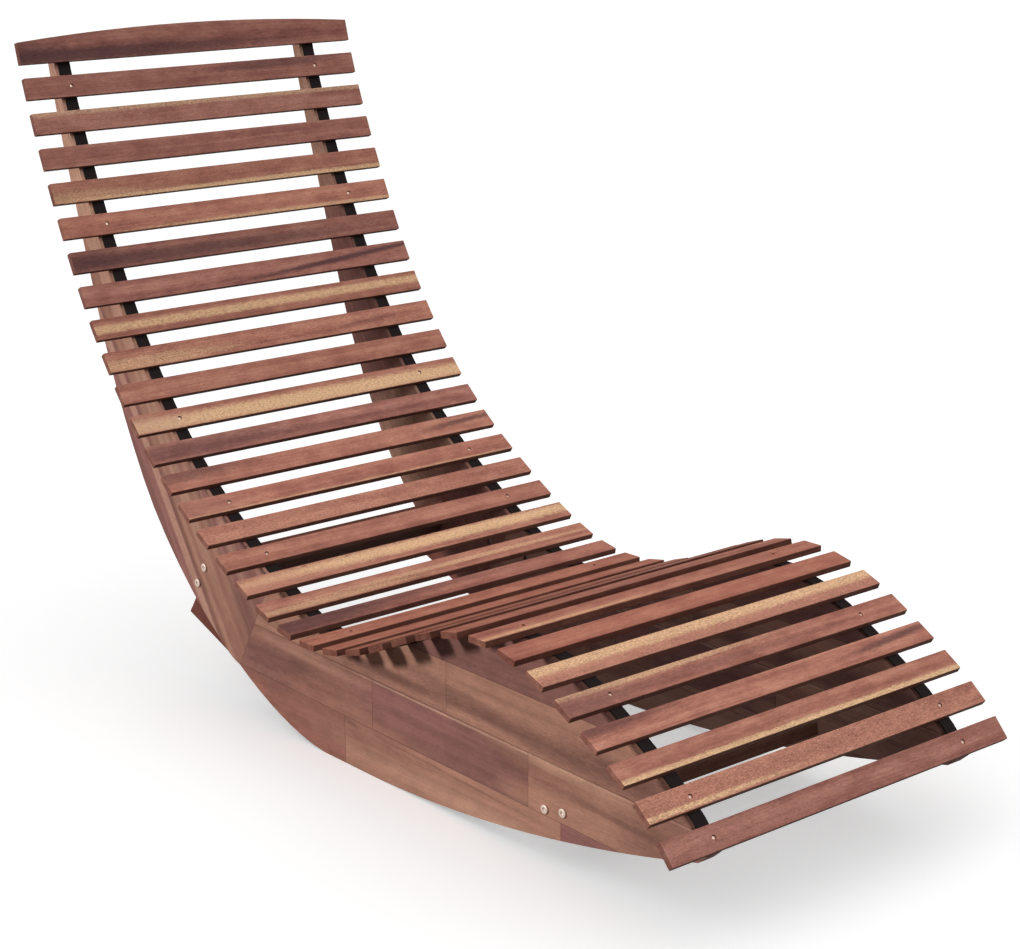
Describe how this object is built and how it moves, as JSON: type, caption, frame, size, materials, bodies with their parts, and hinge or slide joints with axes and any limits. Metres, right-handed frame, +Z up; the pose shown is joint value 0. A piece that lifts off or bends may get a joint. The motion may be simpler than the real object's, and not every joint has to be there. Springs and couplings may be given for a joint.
{
  "type": "rocking chaise lounge",
  "caption": "Long slatted hardwood lounge chair on curved side frames whose lower edges are rockers, so the whole lounge rocks with the person lying on it.",
  "frame": {"origin": "on the floor, under the middle of the bounding box", "axes": "+X towards the foot end, +Y to the sitter's left, +Z up"},
  "size_m": [1.4318, 0.6, 0.9463],
  "materials": {
    "slat_hardwood": "oiled hardwood, red-brown with pale sapwood streaks",
    "frame_hardwood": "oiled edge-glued hardwood panel",
    "webbing": "woven black polypropylene",
    "steel": "bright zinc plated"
  },
  "bodies": {
    "root": {"back_panel_left": "frame_hardwood", "back_panel_right": "frame_hardwood", "barrel_nut_left_front": "steel", "barrel_nut_left_rear": "steel", "barrel_nut_right_front": "steel", "barrel_nut_right_rear": "steel", "front_bolt_left_a": "steel", "front_bolt_left_b": "steel", "front_bolt_right_a": "steel", "front_bolt_right_b": "steel", "front_stretcher": "slat_hardwood", "joint_plate_left": "frame_hardwood", "joint_plate_right": "frame_hardwood", "rear_bolt_left_a": "steel", "rear_bolt_left_b": "steel", "rear_bolt_right_a": "steel", "rear_bolt_right_b": "steel", "rear_stretcher": "slat_hardwood", "seat_panel_left": "frame_hardwood", "seat_panel_right": "frame_hardwood", "slat_01": "slat_hardwood", "slat_02": "slat_hardwood", "slat_03": "slat_hardwood", "slat_04": "slat_hardwood", "slat_05": "slat_hardwood", "slat_06": "slat_hardwood", "slat_07": "slat_hardwood", "slat_08": "slat_hardwood", "slat_09": "slat_hardwood", "slat_10": "slat_hardwood", "slat_11": "slat_hardwood", "slat_12": "slat_hardwood", "slat_13": "slat_hardwood", "slat_14": "slat_hardwood", "slat_15": "slat_hardwood", "slat_16": "slat_hardwood", "slat_17": "slat_hardwood", "slat_18": "slat_hardwood", "slat_19": "slat_hardwood", "slat_20": "slat_hardwood", "slat_21": "slat_hardwood", "slat_22": "slat_hardwood", "slat_23": "slat_hardwood", "slat_24": "slat_hardwood", "slat_25": "slat_hardwood", "slat_26": "slat_hardwood", "slat_27": "slat_hardwood", "slat_28": "slat_hardwood", "slat_29": "slat_hardwood", "slat_30": "slat_hardwood", "slat_31": "slat_hardwood", "slat_32": "slat_hardwood", "slat_33": "slat_hardwood", "slat_34": "slat_hardwood", "slat_35": "slat_hardwood", "tie_rod_left": "steel", "tie_rod_right": "steel", "webbing_left": "webbing", "webbing_right": "webbing"}
  },
  "joints": []
}
